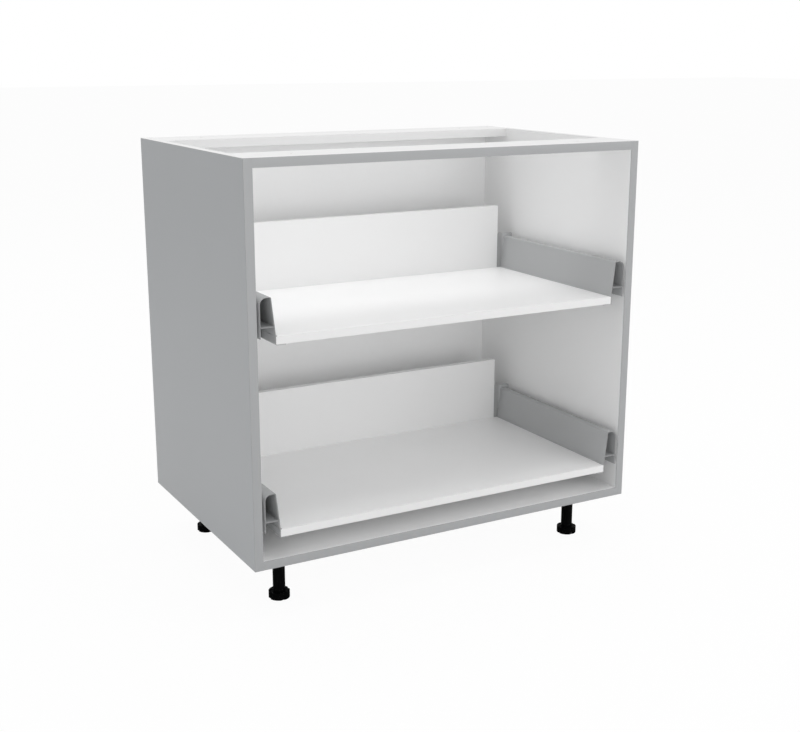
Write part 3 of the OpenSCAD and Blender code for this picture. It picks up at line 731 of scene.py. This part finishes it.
class CabinetStudio(bpy.types.PropertyGroup):
    """Camera and light."""

    eye: FloatVectorProperty(name="Camera place", description="Where the camera stands",
                             subtype="TRANSLATION", unit="LENGTH", default=(-1.1440, -2.1011, 0.9698))
    yaw: angle_setting("Camera yaw", "Turn from straight back towards the right", 29.202)
    pitch: angle_setting("Camera pitch", "Look downwards from level", 14.465)
    roll: angle_setting("Camera roll", "Turn about the line of sight", 0.057)
    lens: FloatProperty(name="Lens", description="Focal length in millimetres on a 36 mm wide frame",
                        min=20, max=120, default=55.56)
    sky: light_setting("Surround", "Strength of the even white surround on the object", 0.56)
    front: light_setting("Front light", "Share of full daylight from the low front", 0.306)
    overhead: light_setting("Overhead light", "Share of full daylight from above", 0.35)
    side: light_setting("Side light", "Share of full daylight from the front right", 0.165)
    rear: light_setting("Rear light", "Share of full daylight from the high rear", 0.105)
    floor: colour_setting("Floor", "Pale floor", (0.92, 0.92, 0.92))


# The operators that make the pieces

class CABINET_OT_stage(bpy.types.Operator):
    """Floor, surround, soft lamps and the camera"""

    bl_idname = "cabinet.stage"
    bl_label = "Studio"

    def execute(self, context):
        scene = context.scene
        studio = scene.cabinet_studio
        scene.view_settings.view_transform = "Standard"
        add_surround(scene, studio.sky)
        add_floor(scene, tuple(studio.floor))
        for name, (azimuth, elevation) in LAMPS.items():
            add_lamp(scene, name, azimuth, elevation, getattr(studio, name))
        add_camera(scene, studio)
        return {"FINISHED"}


class CABINET_OT_carcass(bpy.types.Operator):
    """Melamine on the carcass boards and paint on the back panel"""

    bl_idname = "cabinet.carcass"
    bl_label = "Carcass boards"

    def execute(self, context):
        finish = context.scene.cabinet_finish
        # edge is a darker white, painted shade on the rails and on the sides' top edges
        white, edge = tuple(finish.board_white), tuple(finish.shade_white)
        sides = melamine("Melamine grey outside", white, outer=tuple(finish.board_grey), top=edge)
        paint(nodes_of("grey_board"), sides)
        paint(nodes_named("bottom_panel"), melamine("Melamine white", white))
        paint(nodes_named("front_rail", "rear_rail"),
              melamine("Rail melamine", edge, worktop_holes=True))
        rear_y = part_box("back_panel")[1].y
        paint(nodes_of("back_board"),
              fibreboard("Painted fibreboard", tuple(finish.back_white), tuple(finish.back_raw), rear_y))
        return {"FINISHED"}


class CABINET_OT_edge_bands(bpy.types.Operator):
    """Plastic bands on the front edges, with rounded long edges"""

    bl_idname = "cabinet.edge_bands"
    bl_label = "Edge bands"

    def execute(self, context):
        edge = context.scene.cabinet_sizes.band_edge
        parts = [strip(sorted((hand * INNER_FACE, hand * OUTER_FACE)), (BOTTOM_Z, TOP_Z), True, edge)
                 for hand in HANDS.values()]
        parts += [strip(width_at, (-INNER_FACE, INNER_FACE), False, edge)
                  for width_at in ((BOTTOM_Z, FLOOR_Z), (RAIL_Z, TOP_Z))]
        material = edge_banding("Edge band", tuple(context.scene.cabinet_finish.band_grey))
        build("edge_bands", parts, material, "carcass", ["front_edge_bands"], sharp=50)
        return {"FINISHED"}


class CABINET_OT_fittings(bpy.types.Operator):
    """Dowels, cam bolts and cam discs"""

    bl_idname = "cabinet.fittings"
    bl_label = "Carcass fittings"

    def execute(self, context):
        finish = context.scene.cabinet_finish
        paint(nodes_of("beech"), turned_beech("Beech dowel", BEECH_LIGHT, BEECH_DARK))
        paint(nodes_named("cam_bolts"),
              zinc_plate("Zinc-plated bolt", tuple(finish.zinc), stretch=(0.05, 1, 1)))
        paint(nodes_of("zinc_casting"), cast_zinc("Cast zinc", tuple(finish.casting)))
        return {"FINISHED"}


class CABINET_OT_legs(bpy.types.Operator):
    """Moulded legs with their plates and screw feet"""

    bl_idname = "cabinet.legs"
    bl_label = "Legs"

    def execute(self, context):
        black = tuple(context.scene.cabinet_finish.leg_black)
        paint(nodes_of("leg_plastic"),
              moulded("Moulded leg plastic", black, grain=0.00005, gloss=0.42, shine=0.02))
        return {"FINISHED"}


class CABINET_OT_metal_sides(bpy.types.Operator):
    """Double-walled metal drawer sides, folded from sheet with round bends"""

    bl_idname = "cabinet.metal_sides"
    bl_label = "Metal drawer sides"

    def execute(self, context):
        sizes = context.scene.cabinet_sizes
        ledge_bend, lip_bend = sizes.bend * 0.7, sizes.bend * 0.75
        shell = folded([(OUTER_WALL_X, OUTER_WALL_Z), (OUTER_WALL_X, SIDE_TOP_Z),
                        (SIDE_TOP_X, SIDE_TOP_Z), (BOARD_X, LEDGE_Z), (LEDGE_X, LEDGE_Z)],
                       [sizes.outer_edge, sizes.inner_edge, ledge_bend], steps=8)
        hook = folded([(BOARD_X, UNDER_LEDGE_Z), (BOARD_X, 0.0), (LIP_X, 0.0)], [lip_bend], steps=5)
        web = np.array([(x, WEB_Z) for x in WEB_X])
        finish = context.scene.cabinet_finish
        # The darker tone on the metal sides' front edges is painted shade
        material = powder_coat("Powder-coated sheet", tuple(finish.sheet_grey),
                               front_shade=tuple(finish.front_edge_shade_grey))
        for level in LEVELS:
            for hand, sign in HANDS.items():
                parts = [sheet_along(path, sizes.sheet, FRONT_Y, SIDE_BACK_Y, sign, DRAWER_Z[level])
                         for path in (shell, hook, web)]
                build(f"{level}_metal_side_{hand}", parts, material, f"{level}_drawer",
                      [f"{level}_drawer_side_{hand}"])
        return {"FINISHED"}


class CABINET_OT_drawer_boards(bpy.types.Operator):
    """White drawer bottoms and backs"""

    bl_idname = "cabinet.drawer_boards"
    bl_label = "Drawer boards"

    def execute(self, context):
        finish = context.scene.cabinet_finish
        # The drawer bottoms' front edges take the darker white as painted shade
        base = melamine("Drawer base melamine", tuple(finish.base_white),
                        front=tuple(finish.shade_white))
        back = melamine("Drawer back melamine", tuple(finish.rear_white))
        for level in LEVELS:
            paint(nodes_named(f"{level}_drawer_bottom"), base)
            paint(nodes_named(f"{level}_drawer_back"), back)
        return {"FINISHED"}


class CABINET_OT_brackets(bpy.types.Operator):
    """Rear brackets that join the metal sides to the drawer backs"""

    bl_idname = "cabinet.brackets"
    bl_label = "Rear brackets"

    def execute(self, context):
        finish = context.scene.cabinet_finish
        # The brackets' darker tone towards the drawer backs is painted shade
        material = powder_coat("Powder-coated bracket", tuple(finish.bracket_shade_grey),
                               plate=tuple(finish.sheet_grey))
        paint(nodes_of("bracket_steel"), material)
        return {"FINISHED"}


class CABINET_OT_runners(bpy.types.Operator):
    """Runner members and their roller cages"""

    bl_idname = "cabinet.runners"
    bl_label = "Runners"

    def execute(self, context):
        finish = context.scene.cabinet_finish
        members = [obj for obj in nodes_of("zinc_steel") if obj.name.endswith("_member")]
        paint(members, zinc_plate("Zinc-plated strip", tuple(finish.zinc)))
        paint(nodes_of("roller_plastic"),
              moulded("Cage plastic", tuple(finish.cage_ivory), grain=0.00002, gloss=0.3, shine=0.5))
        return {"FINISHED"}


class CABINET_OT_screws(bpy.types.Operator):
    """Pan-head screws with cross recesses and threads"""

    bl_idname = "cabinet.screws"
    bl_label = "Screws"

    def execute(self, context):
        zinc = zinc_plate("Zinc-plated screw", tuple(context.scene.cabinet_finish.zinc),
                          stretch=(1, 1, 1))
        leg = screw(shank=0.0040, length=0.0126, head=0.0080, rise=0.0024, pitch=0.0018)
        offsets = (-LEG_SCREW_OFFSET, LEG_SCREW_OFFSET)
        seats = []
        for corner in CORNERS:
            low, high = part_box(f"foot_{corner}")
            middle = (low + high) / 2
            seats += [(middle.x + x, middle.y + y, BOTTOM_Z - LEG_SCREW_DEPTH)
                      for x in offsets for y in offsets]
        build("leg_plate_screws", driven(leg, seats, (0, 0, 1)), zinc, "carcass",
              ["leg_screws"])

        runner = screw(shank=0.0048, length=0.0119, head=0.0080, rise=0.0020, pitch=0.0022)
        parts = []
        for sign in HANDS.values():
            seats = [(sign * (INNER_FACE - RUNNER_SHEET), y, DRAWER_Z[level] + RUNNER_SCREW_Z)
                     for level in LEVELS for y in row_places(RUNNER_SCREW_FIRST, RUNNER_SCREW_PITCH)]
            parts += driven(runner, seats, (sign, 0, 0))
        build("runner_pan_screws", parts, zinc, "carcass", ["runner_screws"])

        drawer = screw(shank=0.0035, length=0.0120, head=0.0070, rise=0.0020, pitch=0.0016)
        for level in LEVELS:
            z = DRAWER_Z[level]
            under = [(sign * (INNER_FACE - LIP_SCREW_X), y, z - LIP_SHEET)
                     for sign in HANDS.values() for y in row_places(LIP_SCREW_FIRST, LIP_SCREW_PITCH)]
            behind = [(sign * (INNER_FACE - BRACKET_SCREW_X), DRAWER_REAR_Y + BRACKET_SHEET, z + height)
                      for sign in HANDS.values() for height in BRACKET_SCREW_Z]
            parts = driven(drawer, under, (0, 0, 1)) + driven(drawer, behind, (0, -1, 0))
            build(f"{level}_drawer_pan_screws", parts, zinc, f"{level}_drawer",
                  [f"{level}_drawer_screws"])
        return {"FINISHED"}


class CABINET_PT_panel(bpy.types.Panel):
    """The cabinet's sizes, colours and steps"""

    bl_idname = "CABINET_PT_panel"
    bl_label = "Kitchen base cabinet"
    bl_space_type = "VIEW_3D"
    bl_region_type = "UI"
    bl_category = "Cabinet"

    def draw(self, context):
        for group_name in GROUPS:
            group = getattr(context.scene, group_name)
            box = self.layout.box()
            for name in group.bl_rna.properties.keys():
                if name not in ("rna_type", "name"):
                    box.prop(group, name)
        for operator in OPERATORS:
            self.layout.operator(operator.bl_idname)


GROUPS = {"cabinet_finish": CabinetFinish, "cabinet_sizes": CabinetSizes,
          "cabinet_studio": CabinetStudio}
OPERATORS = (CABINET_OT_stage, CABINET_OT_carcass, CABINET_OT_edge_bands, CABINET_OT_fittings,
             CABINET_OT_legs, CABINET_OT_metal_sides, CABINET_OT_drawer_boards, CABINET_OT_brackets,
             CABINET_OT_runners, CABINET_OT_screws)
CLASSES = (*GROUPS.values(), *OPERATORS, CABINET_PT_panel)


def register():
    for cls in CLASSES:
        bpy.utils.register_class(cls)
    for name, group in GROUPS.items():
        setattr(bpy.types.Scene, name, PointerProperty(type=group))


def unregister():
    for name in GROUPS:
        delattr(bpy.types.Scene, name)
    for cls in reversed(CLASSES):
        bpy.utils.unregister_class(cls)


def main():
    register()
    bpy.ops.cabinet.stage()
    bpy.ops.cabinet.carcass()
    bpy.ops.cabinet.edge_bands()
    bpy.ops.cabinet.fittings()
    bpy.ops.cabinet.legs()
    bpy.ops.cabinet.metal_sides()
    bpy.ops.cabinet.drawer_boards()
    bpy.ops.cabinet.brackets()
    bpy.ops.cabinet.runners()
    bpy.ops.cabinet.screws()


if __name__ == "__main__":
    main()
